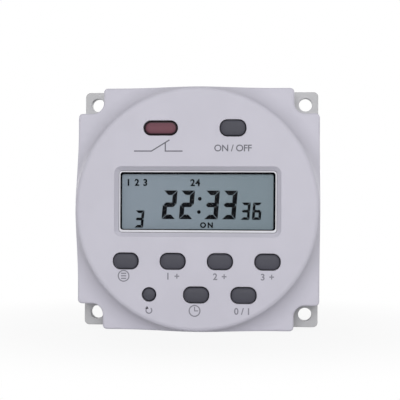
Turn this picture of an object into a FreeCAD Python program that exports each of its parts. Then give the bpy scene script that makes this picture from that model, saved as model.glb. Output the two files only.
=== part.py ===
import FreeCAD, Part
import math
import os

# Panel timer switch. Sizes in mm. It is drawn face up: x to the right, y up the face, w towards the
# viewer. At export it is stood upright, so that the face looks along -Y and y becomes Z.

# Levels along w, counted from the panel.
FACE = 16.5
FLANGE = 12.0
PLATE = 2.5
PANEL = 0.0
REAR = -15.5
TAB_REACH = 8.0

# Outline of the front. The round dial stops just inside the sides.
SIDE = 60.0
DIAL_D = 59.8
RIM_R = 0.8
RIM_FACETS = 2
RAMP_FACETS = 4
NOTCH = 6.3
NOTCH_R = 3.1
CORNER_R = 0.6
WALL = 2.0

# Base plate with its four ears, and the box behind it, which stands back from the sides.
EAR_EDGE = 3.25
EAR_HOLE_D = 3.4
EAR_CORNER_R = 1.2
BOX_STEP = 5.0
BOX_R = 5.0
BOX_WALL = 1.8
RIB_TALL = 2.0
RIB_WALL = 1.2
RIB_LONG = 40.0

# Clearances.
SLIP = 0.15
KEY_GAP = 0.25
FIT = 0.05
AIR = 0.3

# Case screws, their wells and bosses.
SCREW_IN = 10.5
SCREW_D = 2.6
SCREW_LONG = 10.0
HEAD_D = 4.8
HEAD_TALL = 1.7
WELL_GAP = 0.4
WELL_WALL = 1.3
WELL_DEEP = 11.0
WELL_FLOOR = 1.5
PILLAR = 5.0
PILOT_SPARE = 1.0

# Display window and recess.
SHOW_X = 0.15
SHOW_Y = 1.78
SHOW_WIDE = 38.6
SHOW_TALL = 15.0
SHOW_R = 0.8
BEVEL = 1.05
BEVEL_DEEP = 0.9
PANE_DOWN = 0.3
PANE_LIP = 1.2
PANE_LIP_TALL = 0.8
GLASS_TALL = 19.0
GLASS_PLATE = 1.1
REAR_GLASS_TALL = 15.0
REAR_GLASS_PLATE = 1.4
STRIP_WIDE = 1.7
FRAME_WALL = 1.2

# Rows on the front: the upper and lower one counted in from the dial's edge, and the steps between keys.
TOP_ROW_IN = 10.16
LOW_ROW_IN = 9.0
ROW_STEP = 8.13
KEY_STEP = 11.52

# Keys: their holes in the face, and how far their tops stand out.
MANUAL_X = 8.8
MANUAL_WIDE = 6.5
MANUAL_TALL = 4.15
KEY_WIDE = 6.35
KEY_TALL = 4.1
KEY_PROUD = 0.7
RESET_D = 3.55
RESET_PROUD = 0.1
KEY_END_R = 1.9
KEY_LIP = 0.5
KEY_LIP_TALL = 0.9
KEY_TRAVEL = 0.5

# Switches under the keys.
SWITCH = 6.0
SWITCH_TALL = 3.5
PLUNGER = 3.4
PLUNGER_OUT = 0.8
PLUNGER_LONG = 2.4

# Red indicator window with its lamp, in the upper row.
LAMP_X = -8.88
LAMP_WIDE = 8.5
LAMP_TALL = 3.7
LAMP_DOWN = 0.25
LAMP_LIP = 0.6
LED_R = 1.5
LED_FOOT = 3.8
LED_FOOT_TALL = 1.0

# Circuit boards. The cover's ribs and the housing's lugs clamp the front one. Posts and hooks hold the
# rear one.
BOARD = 1.6
BOARD_EDGE = 1.0
CLAMP_IN = 5.0
CLAMP_WIDE = 2.4
POWER_FRONT = -10.0
POWER_EDGE = 0.4
POST = 4.0
POST_IN = 3.0
POST_Y = 11.0
HOOK_TALL = 1.0
HOOK_REACH = 0.5

# Terminals.
TAB_WIDE = 6.35
TAB_THICK = 0.8
TAB_PITCH = 9.0
TAB_Y = -4.0
TAB_COUNT = 5
TAB_HOLE_D = 1.7
TAB_HOLE_IN = 3.9
TAB_TIP_CUT = 1.3
LEG_WIDE = 1.3
LEG_APART = 4.4
LEG_OUT = 0.8
COLLAR = 1.0

# Parts on the power board: centre, then sizes as named in each function.
RELAY = (0.0, -14.65, 29.0, 12.7, 15.7)
DROPPER = (-6.3, 16.5, 17.5, 8.5, 14.0)
SMOOTHER = (14.5, 4.0, 4.0, 9.0)
BRIDGE = (-14.0, 5.2, 6.5, 8.5, 3.3)
BRIDGE_LEG = 1.2
RESISTOR = (-6.0, 5.2, 1.3, 6.5, 10.0)
VARISTOR = (10.5, 19.7, 3.6, 3.2)
DRIVER = (4.0, 4.0, 2.3, 4.8)
LEAD_R = 0.35
LEAD_TALL = 1.0

# Parts on the control board.
CHIP = (-9.0, 6.0, 10.0, 1.4)
CRYSTAL = (-12.0, -4.0, 1.0, 6.0)
CELL = (10.5, 10.5, 7.6, 6.0)
STRAP_WIDE = 3.0
STRAP_THICK = 0.2
STRAP_GAP = 1.2
RIBBON = (20.5, 6.2, 6.35, 1.0, 1.0)

# Values that follow from the ones above.
HALF = SIDE / 2
DIAL_R = DIAL_D / 2
RAMP_R = FACE - FLANGE - RIM_R
RAMP_X = DIAL_R + RAMP_R
RAMP_W = FLANGE + RAMP_R
HOLLOW_R = DIAL_R - WALL
CEILING = FACE - WALL
BOX = SIDE - 2 * BOX_STEP
TOP_ROW = DIAL_R - TOP_ROW_IN
LOW_ROW = LOW_ROW_IN - DIAL_R
MAIN_ROW = LOW_ROW + ROW_STEP
CLAMP_AT = HALF - CLAMP_IN
LAMP_Y = TOP_ROW
EAR = HALF - EAR_EDGE
SCREW_AT = HALF - SCREW_IN
SEAT = REAR + WELL_DEEP
WELL_TOP = SEAT + WELL_FLOOR
WELL_R = HEAD_D / 2 + WELL_GAP
KEY_BASE = CEILING - AIR - KEY_LIP_TALL
CONTROL_FRONT = KEY_BASE - PLUNGER_OUT - SWITCH_TALL
CONTROL_REAR = CONTROL_FRONT - BOARD
POWER_REAR = POWER_FRONT - BOARD
BOX_FLOOR = REAR + BOX_WALL
BOX_IN = BOX - 2 * BOX_WALL
PANE_FRONT = FACE - BEVEL_DEEP - PANE_DOWN
PANE_BACK = CEILING - PANE_LIP_TALL
GLASS_BACK = PANE_BACK - GLASS_PLATE
GLASS_WIDE = SHOW_WIDE + 2 * PANE_LIP
CORNERS = ((1, 1), (-1, 1), (-1, -1), (1, -1))
CLAMPS = ((-CLAMP_AT, SHOW_Y), (CLAMP_AT, SHOW_Y), (0, CLAMP_AT))
CLAMPS += ((-KEY_STEP / 2, -CLAMP_AT), (KEY_STEP / 2, -CLAMP_AT))

# Each key: centre, width and height of its hole, how far its top stands out.
KEYS = {
    "manual": (MANUAL_X, TOP_ROW, MANUAL_WIDE, MANUAL_TALL, KEY_PROUD),
    "program": (-1.5 * KEY_STEP, MAIN_ROW, KEY_WIDE, KEY_TALL, KEY_PROUD),
    "day": (-0.5 * KEY_STEP, MAIN_ROW, KEY_WIDE, KEY_TALL, KEY_PROUD),
    "hour": (0.5 * KEY_STEP, MAIN_ROW, KEY_WIDE, KEY_TALL, KEY_PROUD),
    "minute": (1.5 * KEY_STEP, MAIN_ROW, KEY_WIDE, KEY_TALL, KEY_PROUD),
    "reset": (-KEY_STEP, LOW_ROW, RESET_D, RESET_D, RESET_PROUD),
    "clock": (0, LOW_ROW, KEY_WIDE, KEY_TALL, KEY_PROUD),
    "recall": (KEY_STEP, LOW_ROW, KEY_WIDE, KEY_TALL, KEY_PROUD),
}


def point(x, y, w):
    return FreeCAD.Vector(x, y, w)


def box(x0, x1, y0, y1, w0, w1):
    return Part.makeBox(x1 - x0, y1 - y0, w1 - w0, point(x0, y0, w0))


def block(x, y, wide, tall, w0, w1):
    return box(x - wide / 2, x + wide / 2, y - tall / 2, y + tall / 2, w0, w1)


def disc(x, y, r, w0, w1):
    return Part.makeCylinder(r, w1 - w0, point(x, y, w0))


def through(x, y, r, w0, w1):
    """Round cutter that runs past both levels."""
    return disc(x, y, r, w0 - WALL, w1 + WALL)


def loop(corners, w):
    """Closed outline through corners given as x, y and the radius that rounds each one."""
    ends = []
    count = len(corners)
    for i in range(count):
        x, y, r = corners[i]
        here = point(x, y, w)
        back = point(corners[i - 1][0], corners[i - 1][1], w) - here
        ahead = point(corners[(i + 1) % count][0], corners[(i + 1) % count][1], w) - here
        if r <= 0:
            ends.append((here, here, here))
            continue
        back.normalize()
        ahead.normalize()
        half = back.getAngle(ahead) / 2
        middle = back + ahead
        middle.normalize()
        reach = r / math.tan(half)
        ends.append((here + back * reach, here + middle * (r / math.sin(half) - r), here + ahead * reach))
    edges = []
    for i in range(count):
        start, top, end = ends[i]
        if start.distanceToPoint(end) > 1e-6:
            edges.append(Part.Arc(start, top, end).toShape())
        following = ends[(i + 1) % count][0]
        if end.distanceToPoint(following) > 1e-6:
            edges.append(Part.makeLine(end, following))
    return Part.Wire(edges)


def rounded_loop(x, y, wide, tall, r, w):
    """Outline of a rounded rectangle."""
    r = min(r, wide / 2, tall / 2)
    return loop([(x + sx * wide / 2, y + sy * tall / 2, r) for sx, sy in CORNERS], w)


def rounded(x, y, wide, tall, r, w0, w1):
    """Rounded rectangle raised from w0 to w1."""
    return Part.Face(rounded_loop(x, y, wide, tall, r, w0)).extrude(point(0, 0, w1 - w0))


def notched(inset, w0, w1):
    """Square with its corners notched for the ears, pulled in all round by inset."""
    out = HALF - inset
    inner = HALF - NOTCH - inset
    tip = max(CORNER_R - inset, 0)
    corners = []
    for c, s in ((1, 0), (0, 1), (-1, 0), (0, -1)):
        for x, y, r in ((out, inner, tip), (inner, inner, NOTCH_R + inset), (inner, out, tip)):
            corners.append((x * c - y * s, x * s + y * c, r))
    return Part.Face(loop(corners, w0)).extrude(point(0, 0, w1 - w0))


def turned(spots, bottom):
    """Solid turned about the dial's axis; spots run from the outside in, above a flat underside."""
    profile = [(0, bottom), (spots[0][0], bottom)] + spots + [(0, bottom)]
    wire = Part.makePolygon([point(x, 0, w) for x, w in profile])
    return Part.Face(wire).revolve(point(0, 0, 0), point(0, 0, 1), 360)


def quarter(x, w, r, start, count):
    """Points a quarter turn round x, w, counter-clockwise from the start angle for a positive count."""
    spots = []
    for i in range(abs(count) + 1):
        turn = math.radians(start + 90 * i / count)
        spots.append((x + r * math.cos(turn), w + r * math.sin(turn)))
    return spots


def dial_form(bottom):
    """Round dial that rises from the flat flange through a hollow ramp, with a rounded rim."""
    spots = [(SIDE, FLANGE)]
    spots += quarter(RAMP_X, RAMP_W, RAMP_R, 270, -RAMP_FACETS)[:-1]
    spots += quarter(DIAL_R - RIM_R, FACE - RIM_R, RIM_R, 0, RIM_FACETS)
    spots.append((0, FACE))
    return turned(spots, bottom)


def hollow(bottom):
    """Inside of the cover: the notched outline up to the flange, then a round well that narrows upwards."""
    low = notched(WALL, bottom, FLANGE - WALL)
    well = turned([(DIAL_R, FLANGE - WALL), (HOLLOW_R, CEILING), (0, CEILING)], bottom)
    return low.fuse(well.common(notched(WALL, bottom, FACE)))


def front_cover():
    """Moulded cover: dial, flange and skirt in one piece, with screw pillars and ribs for the front board."""
    cover = dial_form(PLATE).common(notched(0, PLATE, FACE))
    cover = cover.cut(hollow(PLATE))
    under_dial = disc(0, 0, HOLLOW_R + WALL / 2, PLATE, FACE)
    for sx, sy in CORNERS:
        x, y = sx * SCREW_AT, sy * SCREW_AT
        pillar = block(x, y, PILLAR, PILLAR, WELL_TOP, FLANGE - WALL / 2)
        pillar = pillar.fuse(block(x, y, PILLAR, PILLAR, PLATE, CEILING + WALL / 2).common(under_dial))
        pillar = pillar.cut(disc(x, y, SCREW_D / 2 + FIT, WELL_TOP, SEAT + SCREW_LONG + PILOT_SPARE))
        cover = cover.fuse(pillar)
    for x, y in CLAMPS:
        cover = cover.fuse(block(x, y, CLAMP_WIDE, CLAMP_WIDE, CONTROL_FRONT, CEILING + WALL / 2))
    cuts = []
    for x, y, wide, tall, proud in KEYS.values():
        cuts.append(rounded(x, y, wide, tall, KEY_END_R, CEILING - WALL, FACE + WALL))
    cuts.append(rounded(LAMP_X, LAMP_Y, LAMP_WIDE, LAMP_TALL, LAMP_TALL, CEILING - WALL, FACE + WALL))
    cuts.append(rounded(SHOW_X, SHOW_Y, SHOW_WIDE, SHOW_TALL, SHOW_R, CEILING - WALL, FACE))
    low = rounded_loop(SHOW_X, SHOW_Y, SHOW_WIDE, SHOW_TALL, SHOW_R, FACE - BEVEL_DEEP)
    wide = SHOW_WIDE + 2 * BEVEL
    high = rounded_loop(SHOW_X, SHOW_Y, wide, SHOW_TALL + 2 * BEVEL, SHOW_R + BEVEL, FACE)
    cuts.append(Part.makeLoft([low, high], True, True))
    for cut in cuts:
        cover = cover.cut(cut)
    return cover


def rear_housing():
    """Base plate with ears, the box behind it, screw wells, board holds and terminal slots."""
    body = rounded(0, 0, SIDE, SIDE, EAR_CORNER_R, PANEL, PLATE)
    body = body.fuse(rounded(0, 0, BOX, BOX, BOX_R, REAR, PLATE))
    inside = rounded(0, 0, BOX_IN, BOX_IN, BOX_R - BOX_WALL, BOX_FLOOR, PLATE)
    body = body.cut(inside)
    rib_at = HALF - WALL - SLIP - RIB_WALL / 2
    for side in (-1, 1):
        body = body.fuse(block(side * rib_at, 0, RIB_WALL, RIB_LONG, PLATE, PLATE + RIB_TALL))
        body = body.fuse(block(0, side * rib_at, RIB_LONG, RIB_WALL, PLATE, PLATE + RIB_TALL))
    for x, y in CLAMPS:
        body = body.fuse(block(x, y, CLAMP_WIDE, CLAMP_WIDE, PLATE, CONTROL_REAR))
    well = 2 * (WELL_R + WELL_WALL)
    reach = POWER_EDGE + HOOK_REACH
    hook_low = POWER_FRONT + SLIP
    for sx, sy in CORNERS:
        x, y = sx * SCREW_AT, sy * SCREW_AT
        body = body.fuse(block(x, y, well, well, BOX_FLOOR, WELL_TOP - FIT).common(inside))
        post_x = sx * (BOX_IN / 2 - POST_IN)
        body = body.fuse(block(post_x, sy * POST_Y, POST, POST, BOX_FLOOR, POWER_REAR))
        hook_x = sx * (BOX_IN - reach) / 2
        body = body.fuse(block(hook_x, sy * POST_Y, reach, POST, hook_low, hook_low + HOOK_TALL))
    for x in tab_places():
        wide, tall = TAB_WIDE + 2 * COLLAR, TAB_THICK + 2 * COLLAR
        body = body.fuse(block(x, TAB_Y, wide, tall, REAR - COLLAR, BOX_FLOOR))
    for sx, sy in CORNERS:
        x, y = sx * SCREW_AT, sy * SCREW_AT
        body = body.cut(through(sx * EAR, sy * EAR, EAR_HOLE_D / 2, PANEL, PLATE))
        body = body.cut(disc(x, y, WELL_R, REAR - WALL, SEAT))
        body = body.cut(through(x, y, SCREW_D / 2 + SLIP, SEAT, WELL_TOP))
    for x in tab_places():
        wide, tall = TAB_WIDE + 2 * SLIP, TAB_THICK + 2 * SLIP
        body = body.cut(block(x, TAB_Y, wide, tall, REAR - COLLAR - WALL, BOX_FLOOR + WALL))
    return body


def display_window():
    """Clear pane that fills the opening from behind, with a lip glued under the cover."""
    wide, tall = SHOW_WIDE - 2 * SLIP, SHOW_TALL - 2 * SLIP
    pane = rounded(SHOW_X, SHOW_Y, wide, tall, SHOW_R - SLIP, PANE_BACK, PANE_FRONT)
    return pane.fuse(block(SHOW_X, SHOW_Y, GLASS_WIDE, SHOW_TALL + 2 * PANE_LIP, PANE_BACK, CEILING))


def lcd_panel():
    """Two bonded glass plates; the front one overhangs above and below to carry the contacts."""
    front = block(SHOW_X, SHOW_Y, GLASS_WIDE, GLASS_TALL, GLASS_BACK, PANE_BACK)
    rear = block(SHOW_X, SHOW_Y, GLASS_WIDE, REAR_GLASS_TALL, GLASS_BACK - REAR_GLASS_PLATE, GLASS_BACK)
    return front.fuse(rear)


def lcd_holder():
    """Frame that stands on the control board and keeps the glass and the contact strips in place."""
    wide, tall = GLASS_WIDE + 2 * SLIP, GLASS_TALL + 2 * SLIP
    out_wide, out_tall = wide + 2 * FRAME_WALL, tall + 2 * FRAME_WALL
    frame = block(SHOW_X, SHOW_Y, out_wide, out_tall, CONTROL_FRONT, PANE_BACK - SLIP)
    return frame.cut(block(SHOW_X, SHOW_Y, wide, tall, CONTROL_FRONT, PANE_BACK))


def contact_strip(side):
    """Rubber strip that carries the contacts from the board to the glass."""
    y = SHOW_Y + side * (REAR_GLASS_TALL / 2 + SLIP + STRIP_WIDE / 2)
    return block(SHOW_X, y, SHOW_WIDE, STRIP_WIDE, CONTROL_FRONT, GLASS_BACK)


def indicator_lens():
    """Red window, let in just below the face, with a lip behind it."""
    wide, tall = LAMP_WIDE - 2 * KEY_GAP, LAMP_TALL - 2 * KEY_GAP
    lens = rounded(LAMP_X, LAMP_Y, wide, tall, tall, PANE_BACK, FACE - LAMP_DOWN)
    lip_wide, lip_tall = LAMP_WIDE + 2 * LAMP_LIP, LAMP_TALL + 2 * LAMP_LIP
    return lens.fuse(block(LAMP_X, LAMP_Y, lip_wide, lip_tall, PANE_BACK, CEILING))


def indicator_led():
    """Round lamp on a square foot, standing on the control board."""
    lamp = disc(LAMP_X, LAMP_Y, LED_R, CONTROL_FRONT, PANE_BACK - AIR)
    return lamp.fuse(block(LAMP_X, LAMP_Y, LED_FOOT, LED_FOOT, CONTROL_FRONT, CONTROL_FRONT + LED_FOOT_TALL))


def key_cap(name):
    """Cap that stands through the face, with a lip that keeps it behind the face."""
    x, y, wide, tall, proud = KEYS[name]
    cap = rounded(x, y, wide - 2 * KEY_GAP, tall - 2 * KEY_GAP, KEY_END_R - KEY_GAP, KEY_BASE, FACE + proud)
    return cap.fuse(block(x, y, wide + 2 * KEY_LIP, tall + 2 * KEY_LIP, KEY_BASE, CEILING - AIR))


def plunger(name):
    """Square plunger of the switch under one key."""
    x, y = KEYS[name][:2]
    return block(x, y, PLUNGER, PLUNGER, KEY_BASE - PLUNGER_LONG, KEY_BASE)


def switch(name):
    """Square switch body with a well for its plunger."""
    x, y = KEYS[name][:2]
    top = CONTROL_FRONT + SWITCH_TALL
    floor = KEY_BASE - PLUNGER_LONG - KEY_TRAVEL - SLIP
    well = block(x, y, PLUNGER + 2 * SLIP, PLUNGER + 2 * SLIP, floor, top)
    return block(x, y, SWITCH, SWITCH, CONTROL_FRONT, top).cut(well)


def control_board():
    """Front board, cut back at its corners to clear the cover's pillars."""
    side = SIDE - 2 * (WALL + BOARD_EDGE)
    board = block(0, 0, side, side, CONTROL_REAR, CONTROL_FRONT)
    corner = side / 2 - SCREW_AT + PILLAR / 2 + AIR
    for sx, sy in CORNERS:
        at = side / 2 - corner / 2
        board = board.cut(block(sx * at, sy * at, corner, corner, CONTROL_REAR, CONTROL_FRONT))
    return board


def controller_chip():
    """Flat square controller on the back of the control board."""
    x, y, wide, tall = CHIP
    return block(x, y, wide, wide, CONTROL_REAR - tall, CONTROL_REAR)


def crystal():
    """Small metal can that lies on the back of the control board."""
    x, y, r, long = CRYSTAL
    return Part.makeCylinder(r, long, point(x, y, CONTROL_REAR - r), point(1, 0, 0))


def backup_cell():
    """Round cell that keeps the clock going, flat against the back of the control board."""
    x, y, r, tall = CELL
    return disc(x, y, r, CONTROL_REAR - tall, CONTROL_REAR)


def cell_strap():
    """Bent metal strap from the cell's outer face down to the board."""
    x, y, r, tall = CELL
    low = CONTROL_REAR - tall - STRAP_THICK
    edge = x - r - STRAP_GAP - STRAP_THICK
    y0, y1 = y - STRAP_WIDE / 2, y + STRAP_WIDE / 2
    strap = box(edge, x + STRAP_WIDE / 2, y0, y1, low, low + STRAP_THICK)
    return strap.fuse(box(edge, edge + STRAP_THICK, y0, y1, low, CONTROL_REAR))


def link_ribbon():
    """Flat cable between the boards, bowed outwards."""
    x, y, wide, thick, bow = RIBBON
    low = point(x, y - wide / 2, POWER_FRONT)
    high = point(x, y - wide / 2, CONTROL_REAR)
    middle = point(x + bow, y - wide / 2, (POWER_FRONT + CONTROL_REAR) / 2)
    across = point(thick, 0, 0)
    edges = [Part.Arc(low, middle, high).toShape(), Part.makeLine(high, high + across)]
    edges.append(Part.Arc(high + across, middle + across, low + across).toShape())
    edges.append(Part.makeLine(low + across, low))
    return Part.Face(Part.Wire(edges)).extrude(point(0, wide, 0))


def tab_places():
    return [(i - (TAB_COUNT - 1) / 2) * TAB_PITCH for i in range(TAB_COUNT)]


def power_board():
    """Rear board for the mains side, cut back at its corners to clear the screw wells."""
    side = BOX_IN - 2 * POWER_EDGE
    board = block(0, 0, side, side, POWER_REAR, POWER_FRONT)
    corner = side / 2 - SCREW_AT + WELL_R + WELL_WALL + AIR
    for sx, sy in CORNERS:
        at = side / 2 - corner / 2
        board = board.cut(block(sx * at, sy * at, corner, corner, POWER_REAR, POWER_FRONT))
    wide, tall = LEG_WIDE + SLIP, TAB_THICK + SLIP
    for x in tab_places():
        for end in (-1, 1):
            board = board.cut(block(x + end * LEG_APART / 2, TAB_Y, wide, tall, POWER_REAR, POWER_FRONT))
    return board


def relay():
    """Closed relay in a plain case."""
    x, y, wide, tall, rise = RELAY
    return block(x, y, wide, tall, POWER_FRONT, POWER_FRONT + rise)


def dropper_capacitor():
    """Boxed film capacitor that drops the mains voltage."""
    x, y, wide, tall, rise = DROPPER
    return block(x, y, wide, tall, POWER_FRONT, POWER_FRONT + rise)


def smoothing_capacitor():
    """Round can standing on the power board."""
    x, y, r, rise = SMOOTHER
    return disc(x, y, r, POWER_FRONT, POWER_FRONT + rise)


def bridge_rectifier():
    """Moulded rectifier, raised a little on four flat legs."""
    x, y, wide, tall, rise = BRIDGE
    body = block(x, y, wide, tall, POWER_FRONT + LEAD_R, POWER_FRONT + LEAD_R + rise)
    for side in (-1, 1):
        leg_y = y + side * (tall / 2 - BRIDGE_LEG)
        middle = POWER_FRONT + LEAD_R + rise / 2
        body = body.fuse(block(x, leg_y, wide + 2 * LEAD_R, BRIDGE_LEG, middle, middle + LEAD_R))
        for end in (-1, 1):
            leg_x = x + end * (wide + LEAD_R) / 2
            body = body.fuse(block(leg_x, leg_y, LEAD_R, BRIDGE_LEG, POWER_FRONT, middle + LEAD_R))
    return body


def input_resistor():
    """Round resistor that lies over the power board on a bent lead at each end."""
    x, y, r, long, span = RESISTOR
    level = POWER_FRONT + r + FIT
    body = Part.makeCylinder(r, long, point(x, y - long / 2, level), point(0, 1, 0))
    body = body.fuse(block(x, y, LEAD_R, span, level, level + LEAD_R))
    for side in (-1, 1):
        end = y + side * (span - LEAD_R) / 2
        body = body.fuse(block(x, end, LEAD_R, LEAD_R, POWER_FRONT, level + LEAD_R))
    return body


def surge_varistor():
    """Upright disc across the supply, on two straight leads."""
    x, y, r, thick = VARISTOR
    level = POWER_FRONT + r + LEAD_TALL
    body = Part.makeCylinder(r, thick, point(x, y - thick / 2, level), point(0, 1, 0))
    for side in (-1, 1):
        body = body.fuse(block(x + side * r / 2, y, LEAD_R, LEAD_R, POWER_FRONT, level))
    return body


def driver_transistor():
    """Small half-round transistor that switches the relay coil."""
    x, y, r, tall = DRIVER
    foot = POWER_FRONT + 2 * LEAD_TALL
    body = disc(x, y, r, foot, foot + tall)
    body = body.cut(box(x - r, x + r, y - r, y - r / 2, foot, foot + tall))
    for step in (-1, 0, 1):
        body = body.fuse(block(x + step * r / 2, y, LEAD_R, LEAD_R, POWER_FRONT, foot))
    return body


def terminal(x):
    """Flat tab with a cut tip and a catch hole; two legs go up through the power board."""
    half = TAB_WIDE / 2
    tip = REAR - TAB_REACH
    cut = TAB_TIP_CUT
    spots = [(-half, POWER_REAR), (-half, tip + cut), (cut - half, tip)]
    spots += [(half - cut, tip), (half, tip + cut), (half, POWER_REAR)]
    front = TAB_Y - TAB_THICK / 2
    wire = Part.makePolygon([point(x + px, front, pw) for px, pw in spots + spots[:1]])
    blade = Part.Face(wire).extrude(point(0, TAB_THICK, 0))
    hole = Part.makeCylinder(TAB_HOLE_D / 2, TAB_THICK, point(x, front, tip + TAB_HOLE_IN), point(0, 1, 0))
    blade = blade.cut(hole)
    for side in (-1, 1):
        leg = x + side * LEG_APART / 2
        blade = blade.fuse(block(leg, TAB_Y, LEG_WIDE, TAB_THICK, POWER_REAR, POWER_FRONT + LEG_OUT))
    return blade


def case_screws():
    """Four equal screws that go in from behind."""
    screws = []
    for sx, sy in CORNERS:
        x, y = sx * SCREW_AT, sy * SCREW_AT
        head = disc(x, y, HEAD_D / 2, SEAT - HEAD_TALL, SEAT)
        screws.append(head.fuse(disc(x, y, SCREW_D / 2, SEAT, SEAT + SCREW_LONG)))
    return Part.makeCompound(screws)


def save(name, shape):
    """Stand the piece upright and write it."""
    if len(shape.Solids) == 1:
        shape = shape.removeSplitter()
    shape.rotate(point(0, 0, 0), point(1, 0, 0), 90)
    shape.exportStep("parts/" + name + ".step")


os.makedirs("parts", exist_ok=True)
save("front_cover", front_cover())
save("rear_housing", rear_housing())
save("display_window", display_window())
save("lcd_panel", lcd_panel())
save("lcd_holder", lcd_holder())
save("contact_strip_upper", contact_strip(1))
save("contact_strip_lower", contact_strip(-1))
save("indicator_lens", indicator_lens())
save("indicator_led", indicator_led())
for key in KEYS:
    save("key_" + key, key_cap(key))
    save("plunger_" + key, plunger(key))
    save("switch_" + key, switch(key))
save("control_board", control_board())
save("controller_chip", controller_chip())
save("crystal", crystal())
save("backup_cell", backup_cell())
save("cell_strap", cell_strap())
save("link_ribbon", link_ribbon())
save("power_board", power_board())
save("relay", relay())
save("dropper_capacitor", dropper_capacitor())
save("smoothing_capacitor", smoothing_capacitor())
save("bridge_rectifier", bridge_rectifier())
save("input_resistor", input_resistor())
save("surge_varistor", surge_varistor())
save("driver_transistor", driver_transistor())
for number, spot in enumerate(tab_places()):
    save("terminal_" + str(number + 1), terminal(spot))
save("case_screws", case_screws())
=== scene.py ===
import math

import bmesh
import bpy
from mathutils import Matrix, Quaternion, Vector
from mathutils.geometry import delaunay_2d_cdt


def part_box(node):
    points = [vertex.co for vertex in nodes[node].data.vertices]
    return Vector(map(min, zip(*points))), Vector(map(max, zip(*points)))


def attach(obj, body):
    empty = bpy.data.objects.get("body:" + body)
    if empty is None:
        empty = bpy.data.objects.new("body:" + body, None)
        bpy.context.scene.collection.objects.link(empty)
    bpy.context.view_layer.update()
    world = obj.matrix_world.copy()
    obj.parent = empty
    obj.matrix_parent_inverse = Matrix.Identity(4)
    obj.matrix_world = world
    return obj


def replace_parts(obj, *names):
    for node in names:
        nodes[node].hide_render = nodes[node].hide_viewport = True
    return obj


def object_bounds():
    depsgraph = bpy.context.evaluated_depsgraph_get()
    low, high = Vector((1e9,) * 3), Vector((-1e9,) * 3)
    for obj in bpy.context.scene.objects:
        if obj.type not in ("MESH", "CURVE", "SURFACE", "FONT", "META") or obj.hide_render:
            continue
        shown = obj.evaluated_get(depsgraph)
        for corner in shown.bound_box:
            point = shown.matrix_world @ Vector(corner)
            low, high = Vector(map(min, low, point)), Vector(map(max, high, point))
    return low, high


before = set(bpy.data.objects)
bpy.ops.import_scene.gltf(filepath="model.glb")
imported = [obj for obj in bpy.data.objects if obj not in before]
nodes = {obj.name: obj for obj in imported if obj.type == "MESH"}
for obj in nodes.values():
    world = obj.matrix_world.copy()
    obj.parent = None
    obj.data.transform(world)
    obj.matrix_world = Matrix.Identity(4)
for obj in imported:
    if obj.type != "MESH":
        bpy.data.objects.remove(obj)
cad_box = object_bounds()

mm = 0.001


# Rear housing: a square base plate with four ears and a box behind it, in one moulding of grey plastic.
# The ears are screwed to the panel, and the box holds the rear board, the screws and the terminals.
HOUSING_GREY = (181, 181, 183)
HOUSING_EDGE = 0.25 * mm
HOLE_EDGE = 0.15 * mm
EAR_HOLE_EDGE = 0.05 * mm
MOULD_GRAIN = 0.22 * mm
MOULD_DEEP = 0.006 * mm
TONE_SPOT = 9 * mm
TONE_RANGE = (0.3, 0.7)
ROUGH_DRIFT = 0.12
TINY = 0.001 * mm
ALL_INSIDE = 1
SHARP = math.radians(35)
CIRCLE_SIDES = 40
CORNER_STEPS = 10
CORNERS = ((1, 1), (-1, 1), (-1, -1), (1, -1))
QUARTER_TURNS = ((1, 0), (0, 1), (-1, 0), (0, -1))
PLATE = 2.5 * mm
PLATE_BEND = ((1.0, 0.0), (0.3, 0.3), (0.0, 1.0))
EAR_CORNER_R = 1.2 * mm
EAR_EDGE = 3.25 * mm
EAR_HOLE_R = 1.7 * mm
BOX_STEP = 5.0 * mm
BOX_R = 5.0 * mm
BOX_WALL = 1.8 * mm
BOX_EDGE = 0.5 * mm
BOX_EDGE_STEPS = 3
ROOM_R = 3.2 * mm
ROOM_STEPS = 8
SCREW_IN = 10.5 * mm
HEAD_TALL = 1.7 * mm
WELL_R = 2.8 * mm
WELL_WALL = 1.3 * mm
WELL_FLOOR = 1.5 * mm
BORE_R = 1.45 * mm
SLOT_AIR = 0.15 * mm
COLLAR = 1.0 * mm
RIB_IN = 2.75 * mm
RIB_WALL = 1.2 * mm
RIB_LONG = 40.0 * mm
RIB_TALL = 2.0 * mm
POST = 4.0 * mm
POST_IN = 3.0 * mm
POST_Z = 11.0 * mm


class Wire:
    """One socket of a material's nodes. Arithmetic on wires adds Math nodes."""

    def __init__(self, tree, socket=None):
        self.tree = tree
        self.socket = socket

    def node(self, kind, settings, inputs, output=0):
        """Adds a node: its settings first, then the numbers, colours or wires of its sockets."""
        made = self.tree.nodes.new(kind)
        for name, value in settings.items():
            setattr(made, name, value)
        for name, value in inputs.items():
            if isinstance(value, Wire):
                self.tree.links.new(value.socket, made.inputs[name])
            else:
                made.inputs[name].default_value = value
        return Wire(self.tree, made.outputs[output])

    def math(self, operation, *others):
        """Math node on this wire and the values that follow it."""
        return self.node("ShaderNodeMath", {"operation": operation}, dict(enumerate((self, *others))))

    def __add__(self, other):
        return self.math("ADD", other)

    def __sub__(self, other):
        return self.math("SUBTRACT", other)

    def __rsub__(self, other):
        return self.node("ShaderNodeMath", {"operation": "SUBTRACT"}, {0: other, 1: self})

    def __mul__(self, other):
        return self.math("MULTIPLY", other)

    def __abs__(self):
        return self.math("ABSOLUTE")

    __radd__ = __add__

    def between(self, low, high):
        """Goes smoothly from 0 at low to 1 at high."""
        settings = {"interpolation_type": "SMOOTHSTEP"}
        return self.node("ShaderNodeMapRange", settings, {0: self, 1: low, 2: high})

    def mix(self, first, second):
        """Colour that goes from first to second as this wire goes from 0 to 1."""
        return self.node("ShaderNodeMix", {"data_type": "RGBA"}, {0: self, 6: first, 7: second}, 2)

    def axis(self, letter):
        return self.node("ShaderNodeSeparateXYZ", {}, {0: self}, letter)


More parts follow.
